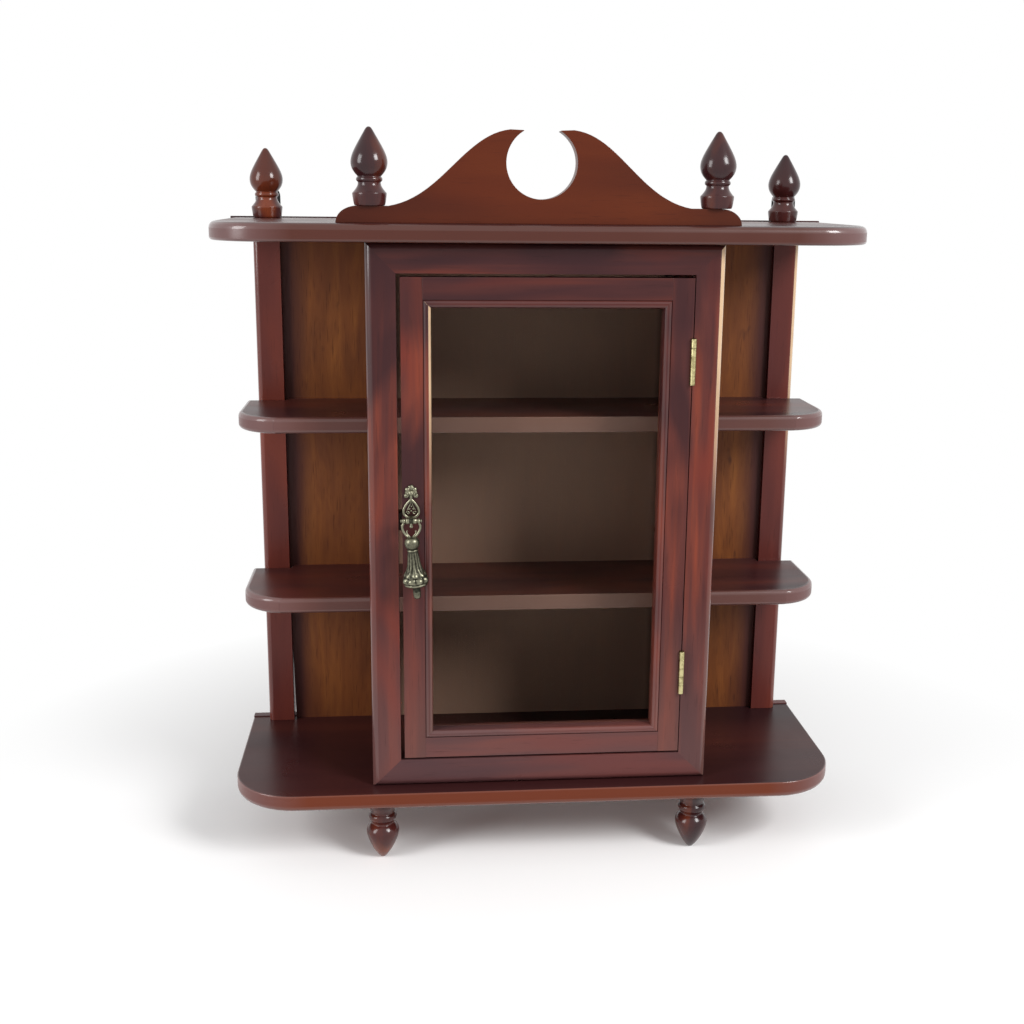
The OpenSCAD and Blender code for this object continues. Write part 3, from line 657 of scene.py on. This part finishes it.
# A painted cream highlight on the rounded front corner that faces right.
highlight_corner = {"rubbed": lambda f: 0.3 < f.normal.x < 0.95 and f.normal.y < -0.01}
for node in ("top_back_strip", "bottom_back_strip", "face_rail_top", "face_rail_bottom"):
    soften(node, "cabinet", wood_across, 0.35, test=level_or_upright)
soften("post_left", "cabinet", wood_post, 0.9)
soften("post_right", "cabinet", wood_post, 0.9, 3, masks=highlight_corner)
for node in ("case_side_left", "case_side_right"):
    soften(node, "cabinet", wood_post, 0.35)
soften("face_stile_left", "cabinet", wood_upright, 0.3, test=crisp)
soften("face_stile_right", "cabinet", wood_upright, 0.3, test=crisp, masks=highlight_corner)
print("edges softened:", softened)

# %% The pediment, with its horn tips rounded off
bm = copy_of("pediment")
low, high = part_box("pediment")
off_middle = lambda e: abs(middle(e).x - (low.x + high.x) / 2)
at_tip = lambda e: middle(e).z > high.z - mm(3) and off_middle(e) < mm(26)
tips = [e for e in bm.edges if sharp(e, 40) and at_tip(e) and abs(run_of(e).y) > mm(5)]
bmesh.ops.bevel(bm, geom=tips, offset=mm(1.5), offset_type="OFFSET", affect="EDGES", segments=4,
                profile=0.5, material=-1, clamp_overlap=False)
round_edges(bm, lambda e: abs(run_of(e).y) < mm(1), mm(0.9), 3)
piece(bm, "pediment_dressed", "cabinet", wood_gable, ("pediment",))
print("horn tips rounded:", len(tips))

# %% Soften the door and the fittings
for node in ("door_stile_left", "door_stile_right"):
    soften(node, "door", door_upright, 0.6)
for node in ("door_rail_top", "door_rail_bottom"):
    soften(node, "door", door_across, 0.3)
for node in ("stop_left", "stop_right"):
    soften(node, "door", wood_upright, 0.6)
for node in ("stop_top", "stop_bottom"):
    soften(node, "door", wood_across, 0.6)
for node in ("hanger_plate_left", "hanger_plate_right"):
    soften(node, "cabinet", black_paint, 0.3)
soften("catch_magnet", "cabinet", brown_plastic, 0.8, 3)
print("pieces softened so far:", len(softened))

# %% [markdown]
# ## The glazing bead
# A half-round bead, mitred at the corners, holds the glass from the front. Only its long front
# edges are rounded. The mitres stay crisp, so that each corner shows its fine diagonal line.

# %% Half-round bead
for side in ("left", "right", "top", "bottom"):
    node = "bead_" + side
    along, finish = (2, door_upright) if side in ("left", "right") else (0, door_across)
    front_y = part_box(node)[0].y
    bm = copy_of(node)
    long_front = lambda e: middle(e).y < front_y + touch and abs(run_of(e)[along]) > mm(40)
    made = round_edges(bm, long_front, mm(2.7), 6)
    round_edges(bm, lambda e: sharp(e, 60) and not long_front(e), mm(0.12), 1)
    mark(bm, "arris", curved)
    # A painted cream highlight on the bead's round that faces the glass.
    if side == "left":
        mark(bm, "rubbed", lambda f: f.normal.x > 0.15 and f.normal.y < -0.02)
    piece(bm, node + "_dressed", "door", finish, (node,))
    print(node, "long front edges rounded:", made)

# %% Finishes of the pieces that stay as CAD made them
kept = {"back_panel": ply, "glass_pane": glass, "pull_screw": old_brass, "catch_strike": zinc}
for node, finish in kept.items():
    for place in nodes[node].material_slots:
        place.material = finish
print("CAD pieces with a finish:", len(kept))

# %% [markdown]
# ## Turned finials and pendants
# On a lathe the profile is cut while the wood spins. The spin operator does the same: a few
# points from the axis outwards, turned once around. A subdivision surface then rounds the curves,
# and pairs of close points keep the grooves crisp.

# %% Spin a profile around the Z axis
def lathe(profile, steps=32, closed=False):
    bm = bmesh.new()
    points = [bm.verts.new((mm(r), 0, mm(z))) for r, z in profile]
    pairs = list(zip(points, points[1:])) + ([(points[-1], points[0])] if closed else [])
    rim = [bm.edges.new(pair) for pair in pairs]
    bmesh.ops.spin(bm, geom=points + rim, cent=(0, 0, 0), axis=(0, 0, 1), angle=math.tau,
                   steps=steps, use_merge=True, use_duplicate=False)
    bmesh.ops.remove_doubles(bm, verts=bm.verts, dist=1e-6)
    bmesh.ops.recalc_face_normals(bm, faces=bm.faces)
    return bm


def turned(node, profile, base):
    low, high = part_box(node)
    bm = lathe(profile)
    bmesh.ops.translate(bm, vec=((low.x + high.x) / 2, (low.y + high.y) / 2, base), verts=bm.verts)
    return piece(bm, node + "_turned", "cabinet", wood_turned, (node,), 60, False, 2)


trial = lathe([(0, 0), (10, 0), (0, 20)])
print("faces of a spun cone:", len(trial.faces))
trial.free()

# %% Finials
finial_profile = [(0, -9), (2.6, -9), (3, -8.6), (3, -0.2), (3.4, 0), (11.5, 0), (11.9, 0.3),
                  (12.5, 1.4), (13.2, 6), (13.6, 9.1), (13.5, 9.9), (12.8, 10.5), (11, 12.6),
                  (9.3, 15.2), (8.9, 17.2), (9, 18.1), (9.4, 18.4), (10.1, 18.9), (10.4, 19.8),
                  (10.3, 21), (9.8, 21.7), (9.3, 22), (9.3, 22.6), (9.8, 23), (11.8, 25.2),
                  (13.8, 28.4), (14.6, 32.5), (14.3, 36), (12.8, 40.5), (10.1, 45.6), (7.1, 50.8),
                  (4.4, 55.3), (2.7, 58.3), (1.4, 59.7), (0, 60)]
for name in ("inner_left", "inner_right", "outer_left", "outer_right"):
    node = "finial_" + name
    made = turned(node, finial_profile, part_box(node)[0].z + mm(9))
print("a finial has", len(made.data.polygons), "faces before it is rounded")

# %% Pendants
pendant_profile = [(0, -58), (1.5, -57.9), (2.2, -57.4), (3.3, -56.4), (7.1, -51.6),
                   (11.4, -43.5), (13.9, -36.5), (14.5, -32.5), (14.2, -30.2), (12.6, -27.3),
                   (10.2, -24.9), (9.8, -24.5), (9.9, -23.4), (10.3, -22.4), (12.1, -20),
                   (12.4, -18.4), (12.2, -16.6), (10.6, -14.6), (10.3, -14.1), (10.5, -12.4),
                   (12.6, -8.4), (13.5, -5.6), (13.5, -3.4), (12.9, -1), (12.6, -0.3), (12.2, 0),
                   (3.4, 0), (3, 0.3), (3, 8.6), (2.6, 9), (0, 9)]
for name in ("front_left", "front_right", "rear_left", "rear_right"):
    node = "pendant_" + name
    made = turned(node, pendant_profile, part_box(node)[1].z - mm(9))
print("a pendant has", len(made.data.polygons), "faces before it is rounded")

# %% [markdown]
# ## Hinges and screws
# The leaves keep their exact knuckles and only lose their sharp edges. Each screw is turned and
# then gets a driver slot: two cuts mark the strip, and the faces between them are extruded into
# the head. A screw's size is four numbers: the radii of its head and shank, its length and how
# far its head tapers.

# %% Hinge leaves and pins
for place in ("upper", "lower"):
    soften("hinge_" + place + "_frame_leaf", "cabinet", brass, 0.16, 2)
    soften("hinge_" + place + "_door_leaf", "door", brass, 0.16, 2)
    soften("hinge_" + place + "_pin", "cabinet", brass, 0.4, 3)
    print(place, "pin, edges softened:", softened["hinge_" + place + "_pin"])


# %% A screw with one slot or a cross
def join(bm, part, matrix):
    part.transform(matrix)
    holder = bpy.data.meshes.new("holder")
    part.to_mesh(holder)
    part.free()
    bm.from_mesh(holder)
    bpy.data.meshes.remove(holder)


def screw(head, shank, length, sink, cross):
    bm = lathe([(0, 0), (head - 0.15, 0), (head, -0.12), (shank, -sink), (shank, 1.5 - length),
                (0.3, -length), (0, -length)], 24)
    half, reach = mm(0.28), mm(head - 0.5)
    for axis in ((0, 1, 0), (1, 0, 0)) if cross else ((0, 1, 0),):
        for s in (-1, 1):
            bmesh.ops.bisect_plane(bm, geom=bm.verts[:] + bm.edges[:] + bm.faces[:],
                                   plane_co=Vector(axis) * s * half, plane_no=axis)

    def in_slot(face):
        c = face.calc_center_median()
        along = abs(c.y) < half and abs(c.x) < reach
        return c.z > -1e-6 and (along or (cross and abs(c.x) < half and abs(c.y) < reach))

    strip = [f for f in bm.faces if in_slot(f)]
    sunk = bmesh.ops.extrude_face_region(bm, geom=strip)["geom"]
    floor_of_slot = [v for v in sunk if isinstance(v, bmesh.types.BMVert)]
    bmesh.ops.translate(bm, vec=(0, 0, mm(-0.6)), verts=floor_of_slot)
    bmesh.ops.delete(bm, geom=[f for f in strip if f.is_valid], context="FACES")
    return bm


leaf_screw, hanger_screw = (2.2, 1.2, 10, 1.0), (3.4, 1.75, 14, 2.0)
trial = screw(*leaf_screw, False)
print("faces of a hinge screw:", len(trial.faces))
trial.free()


# %% A set of screws as one piece
def screws(node, body, finish, facing, places, size, cross=False):
    bm = bmesh.new()
    for number, point in enumerate(places):
        turn = Vector(facing).to_track_quat("Z", "Y").to_matrix().to_4x4()
        twist = Matrix.Rotation(0.6 + number * 1.1, 4, "Z")
        join(bm, screw(*size, cross), Matrix.Translation(point) @ turn @ twist)
    return piece(bm, node + "_turned", body, finish, (node,), 40, False)


# %% Hinge screws and hanger screws
from_middle = mm(11)
leaf_heights = []
for place in ("lower", "upper"):
    low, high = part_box("hinge_" + place + "_pin")
    leaf_heights += [(low.z + high.z) / 2 - from_middle, (low.z + high.z) / 2 + from_middle]
for node, body, end, facing in (("hinge_screws_frame", "cabinet", 0, (-1, 0, 0)),
                                ("hinge_screws_door", "door", 1, (1, 0, 0))):
    low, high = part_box(node)
    places = [Vector(((low, high)[end].x, (low.y + high.y) / 2, z)) for z in leaf_heights]
    screws(node, body, brass, facing, places, leaf_screw)
low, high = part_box("hanger_screws")
head = mm(hanger_screw[0])
hanger_places = [Vector((x, high.y, z)) for x in (low.x + head, high.x - head)
                 for z in (low.z + head, high.z - head)]
screws("hanger_screws", "cabinet", zinc, (0, 1, 0), hanger_places, hanger_screw, True)
print("screws:", 2 * len(leaf_heights) + len(hanger_places))

# %% [markdown]
# ## The tassel pull
# The pull is one of those cast drawer pulls with a pierced back plate. The plate is built from
# bent wire and small domes. Wire is quickest as a curve with a round bevel, which is then turned
# into a mesh. All of it is placed from the pivot, in millimetres: sideways, out from the door,
# and up.

# %% Bent wire and a frame for the pull
pin_low, pin_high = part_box("pull_pin")
pivot = (pin_low + pin_high) / 2
face_out = -13


def at_pull(x, out, z):
    return pivot + Vector((mm(x), mm(-out), mm(z)))


def wire(bm, points, radius, closed=False):
    curve = bpy.data.curves.new("wire", "CURVE")
    curve.dimensions = "3D"
    curve.bevel_depth = mm(radius)
    curve.bevel_resolution = 2
    curve.use_fill_caps = True
    curve.resolution_u = 5
    spline = curve.splines.new("BEZIER")
    spline.bezier_points.add(len(points) - 1)
    spline.use_cyclic_u = closed
    for knot, point in zip(spline.bezier_points, points):
        knot.co = at_pull(*point)
        knot.handle_left_type = knot.handle_right_type = "AUTO"
    holder = bpy.data.objects.new("wire", curve)
    mesh = bpy.data.meshes.new_from_object(holder)
    bm.from_mesh(mesh)
    bpy.data.objects.remove(holder)
    bpy.data.curves.remove(curve)
    bpy.data.meshes.remove(mesh)


def quarter_turn(axis):
    return Matrix.Rotation(math.radians(90), 4, axis)


def dome(bm, x, z, radius, height, flutes=0):
    cap = lathe([(0, height), (radius * 0.5, height * 0.9), (radius * 0.84, height * 0.6),
                 (radius, height * 0.2), (radius, 0), (0, 0)], 36 if flutes else 20)
    for v in cap.verts:
        wave = 1 + 0.09 * math.cos(flutes * math.atan2(v.co.y, v.co.x)) if flutes else 1
        v.co.x *= wave
        v.co.y *= wave
    join(bm, cap, Matrix.Translation(at_pull(x, face_out, z)) @ quarter_turn("X"))


print("the pull hangs from", [round(c, 4) for c in pivot])


# %% A pear and a curl to bend the wire to
widest = 0.77  # the most that sin(t) * sin(t / 2) comes to


def pear(half, low, high, out, count):
    middle_z, reach = (low + high) / 2, (high - low) / 2
    turns = [math.tau * i / count for i in range(count)]
    return [(half / widest * math.sin(t) * math.sin(t / 2), out, middle_z + reach * math.cos(t))
            for t in turns]


def curl(x, z, radius, side, turns, out, start):
    points = []
    for i in range(13):
        angle = start + turns * math.tau * i / 12
        shrunk = radius * (1 - i / 14)
        points.append((x + side * shrunk * math.cos(angle), out, z + shrunk * math.sin(angle)))
    return points


print("points on a pear:", len(pear(1, 0, 1, 0, 20)), "on a curl:", len(curl(0, 0, 1, 1, 1, 0, 0)))

# %% Back plate
plate = bmesh.new()
near = face_out + 0.8
dome(plate, 0, 24.9, 2.7, 2.2, 5)
for side in (-1, 1):
    dome(plate, side * 3, 23.3, 2.1, 1.8)
    dome(plate, side * 4.4, 18.4, 1.2, 2.4)
    wire(plate, curl(side * 4.2, 18.6, 2.2, side, 1.2, face_out + 1.1, 1.2), 0.75)
    wire(plate, [(side * 1.4, face_out + 1.2, 21), (side * 2.6, face_out + 1.3, 21.6),
                 (side * 4.6, face_out + 1, 21.4)], 0.8)
    wire(plate, curl(side * 2.6, 3.6, 1.5, side, 1.0, face_out + 0.9, 0.4), 0.45)
    wire(plate, curl(side * 1.5, 7.4, 1.0, -side, 0.9, near, 2.0), 0.38)
    wire(plate, [(side * 0.3, near, 14), (side * 1.2, near, 10.6), (side * 3.4, near, 6)], 0.35)
dome(plate, 0, 20.3, 2.6, 2.6, 8)
dome(plate, 0, 5.4, 0.9, 1.6)
dome(plate, 0, 9.2, 0.7, 1.3)
wire(plate, pear(6.35, -0.2, 15.4, face_out + 1.05, 20), 1.05, True)
wire(plate, [(0, face_out + 1.1, 14.6), (0, face_out + 1.2, 17), (0, face_out + 1.4, 19)], 1.3)
print("plate faces before the lug:", len(plate.faces))

# %% The boss, the drop below it and the lug that holds them to the plate
boss = lathe([(0, -4.5), (2.1, -4.5), (2.6, -4), (2.6, -1.8), (2.1, -1.5), (2.1, 1.5), (2.6, 1.8),
              (2.6, 4), (2.1, 4.5), (0, 4.5)], 24)
join(plate, boss, Matrix.Translation(pivot) @ quarter_turn("Y"))
bud = lathe([(0, -6.3), (0.9, -6), (1.6, -5.1), (1.7, -4.4), (1.2, -3.3), (1.1, -1.5), (1.1, 0),
             (0, 0)], 16)
join(plate, bud, Matrix.Translation(pivot))
lug = bmesh.new()
bmesh.ops.create_cube(lug, size=1)
bmesh.ops.scale(lug, vec=(mm(3.2), mm(13), mm(4.6)), verts=lug.verts)
bmesh.ops.bevel(lug, geom=lug.edges[:], offset=mm(0.7), offset_type="OFFSET", affect="EDGES",
                segments=2, profile=0.5, material=-1)
join(plate, lug, Matrix.Translation(at_pull(0, -6.5, 0)))
print("plate faces with it:", len(plate.faces))
piece(plate, "pull_back_plate_cast", "door", old_brass, ("pull_back_plate",), 50,
      False)

# %% The pivot pin
pin = lathe([(0, -8.7), (1.2, -8.7), (1.5, -8.4), (1.5, -8), (1.4, -7.9), (0.9, -7.9), (0.9, 7.9),
             (1.4, 7.9), (1.5, 8), (1.5, 8.4), (1.2, 8.7), (0, 8.7)], 20)
pin.transform(Matrix.Translation(pivot) @ quarter_turn("Y"))
made = piece(pin, "pull_pin_turned", "door", old_brass, ("pull_pin",), 50, False)
print("the pin has", len(made.data.polygons), "faces")

# %% [markdown]
# The drop is spun from its profile with many steps. Then the points of the neck and the bell are
# drawn in by a wave around the axis. Along the neck it cuts twelve flutes, and at the flare it
# makes two rows of eight rounded petals, the second row turned by half a petal. The finished drop
# leans a little on its stirrup, as castings do.

# %% The drop
drop_profile = [(0, -13.6), (2.6, -13.6), (4.2, -14.1), (5.4, -15.1), (6.2, -17), (6.3, -18.5),
                (6.1, -20.2), (5.2, -22.2), (4.2, -23.2), (3.9, -23.7), (4.5, -24.1), (4.7, -24.8),
                (4.4, -25.4), (4.4, -26.4), (4.6, -28), (4.8, -30), (5, -32), (5.3, -34.5),
                (5.7, -37), (6.3, -39.5), (7.2, -41.6), (8.6, -43), (9.6, -44.4), (9.7, -45.6),
                (9.2, -46.4), (9.8, -47), (10.9, -48), (11.2, -49.4), (11, -50.9), (10, -51.9),
                (9.2, -52.2), (9.6, -52.7), (10, -53.3), (9.8, -54), (8, -55.3), (5.4, -55.9),
                (4, -56.4), (3.3, -57.5), (3.1, -60), (3.4, -60.8), (3.2, -61.6), (3.1, -64.6),
                (2.4, -66.1), (0, -66.4)]
print("points on the drop's profile:", len(drop_profile))

# %% Flutes and petals on the drop
drop = lathe(drop_profile, 96)
flutes_from, flutes_to, first_row_to, second_row_to = -26, -42.5, -46.2, -51.5
flute_waves, petal_waves = 6, 4
for v in drop.verts:
    z = v.co.z * 1000
    turn = math.atan2(v.co.y, v.co.x)
    scale = 1.0
    if flutes_to < z < flutes_from:
        fading_in = min(1, (flutes_from - z) / 3)
        scale = 1 - 0.13 * (1 - abs(math.cos(flute_waves * turn))) * fading_in
    elif first_row_to < z <= flutes_to:
        petal = abs(math.cos(petal_waves * turn))
        scale = 1 - 0.17 * (1 - petal)
        v.co.z -= mm(0.7) * petal
    elif second_row_to < z <= first_row_to:
        petal = abs(math.sin(petal_waves * turn))
        scale = 1 - 0.15 * (1 - petal)
        v.co.z -= mm(0.5) * petal
    v.co.x *= scale
    v.co.y *= scale
neck_top = Matrix.Translation((0, 0, mm(drop_profile[0][1])))
lean = neck_top @ Matrix.Rotation(math.radians(-5), 4, "Y") @ neck_top.inverted()
tassel = bmesh.new()
join(tassel, drop, Matrix.Translation(pivot) @ lean)
print("drop faces:", len(tassel.faces))

# %% The stirrup
for side in (-1, 1):
    ear = lathe([(0.97, -1.2), (1.8, -1.2), (2.1, -0.9), (2.1, 0.9), (1.8, 1.2), (0.97, 1.2)], 24,
                True)
    join(tassel, ear, Matrix.Translation(at_pull(side * 6.1, 0, 0)) @ quarter_turn("Y"))
    wire(tassel, [(side * 6.3, 0, -1.8), (side * 7.3, 0, -4.4), (side * 7, 0, -7.2),
                  (side * 5.4, 0, -10.4), (side * 3.4, 0, -12.8), (side * 1, 0, -13.8)], 1.05)
    wire(tassel, [(side * 7.4, 0, -5.4), (side * 7.8, 0.2, -3.6), (side * 7.1, 0.3, -2.6)], 0.5)
    wire(tassel, [(side * 1.6, 0.6, -12.6), (side * 3, 0.5, -11.2), (side * 3.8, 0.2, -9.2),
                  (side * 3.2, 0, -8.2)], 0.55)
made = piece(tassel, "pull_tassel_cast", "tassel", old_brass, ("pull_tassel",),
             60, False)
print("tassel faces:", len(made.data.polygons))

# %% [markdown]
# ## The studio
# The floor is a flat pale sheet that reaches far behind the cabinet, with soft light from two
# lamps and the sky. What the camera, a mirror or the glass sees of the sky is plain white. The
# floor near the cabinet is lit and takes its shadow, and it fades to the same white further out.

# %% White where it is looked at
looks = ("Is Camera Ray", "Is Glossy Ray", "Is Transmission Ray")
print("kinds of ray that look:", looks)


# %% Floor
fade_from, fade_to = 0.3, 0.62


def pale_floor():
    f = Finish("pale floor")
    f.set(Base_Color=(1.0, 1.0, 1.0), Roughness=0.9, Specular_IOR_Level=0.0)
    plain = f.node("ShaderNodeBsdfDiffuse", {}, {0: (0.72, 0.72, 0.72)})
    white = f.node("ShaderNodeEmission", {}, {1: 1.0})
    coords = f.node("ShaderNodeTexCoord", {}, {}, "Object")
    far = f.node("ShaderNodeVectorMath", {"operation": "LENGTH"}, {0: coords}, "Value")
    seen = blend(f, f.between(far, fade_from, fade_to), f.surface, white)
    f.show(blend(f, ray_is(f, *looks), plain, seen))
    return f.material


sheet = bmesh.new()
bmesh.ops.create_grid(sheet, x_segments=1, y_segments=1, size=9)
floor_mesh = bpy.data.meshes.new("floor")
sheet.to_mesh(floor_mesh)
sheet.free()
floor_mesh.materials.append(pale_floor())
floor = bpy.data.objects.new("floor", floor_mesh)
bpy.context.scene.collection.objects.link(floor)
print("floor laid,", round(floor.dimensions.x, 1), "m square")


# %% Lamps
case_middle = Vector((0, 0, 0.3))


def lamp(name, place, size, power):
    data = bpy.data.lights.new(name, "AREA")
    data.shape = "RECTANGLE"
    data.size, data.size_y = size
    data.energy = power
    obj = bpy.data.objects.new(name, data)
    obj.location = place
    obj.rotation_euler = (case_middle - Vector(place)).to_track_quat("-Z", "Y").to_euler()
    bpy.context.scene.collection.objects.link(obj)
    return obj


key = lamp("key", (1.35, -1.35, 1.5), (0.7, 0.9), 40)
fill = lamp("fill", (-1.7, -0.9, 1.0), (0.7, 1.3), 24)
print("lamps:", key.name, fill.name)

# %% Sky
world = bpy.data.worlds.new("studio")
bpy.context.scene.world = world
world.use_nodes = True
sky = Finish.__new__(Finish)  # the world has a node tree of its own, so no material is made
sky.tree = world.node_tree
sky.tree.nodes.clear()
sky.output = sky.tree.nodes.new("ShaderNodeOutputWorld")
sky_light, plain_white = 0.45, 1.0
skies = [sky.node("ShaderNodeBackground", {}, {0: (1, 1, 1), 1: strength})
         for strength in (sky_light, plain_white)]
sky.show(blend(sky, ray_is(sky, *looks), *skies))
print("sky nodes:", len(sky.tree.nodes))

# %% The end of the scene
print("the scene is built")
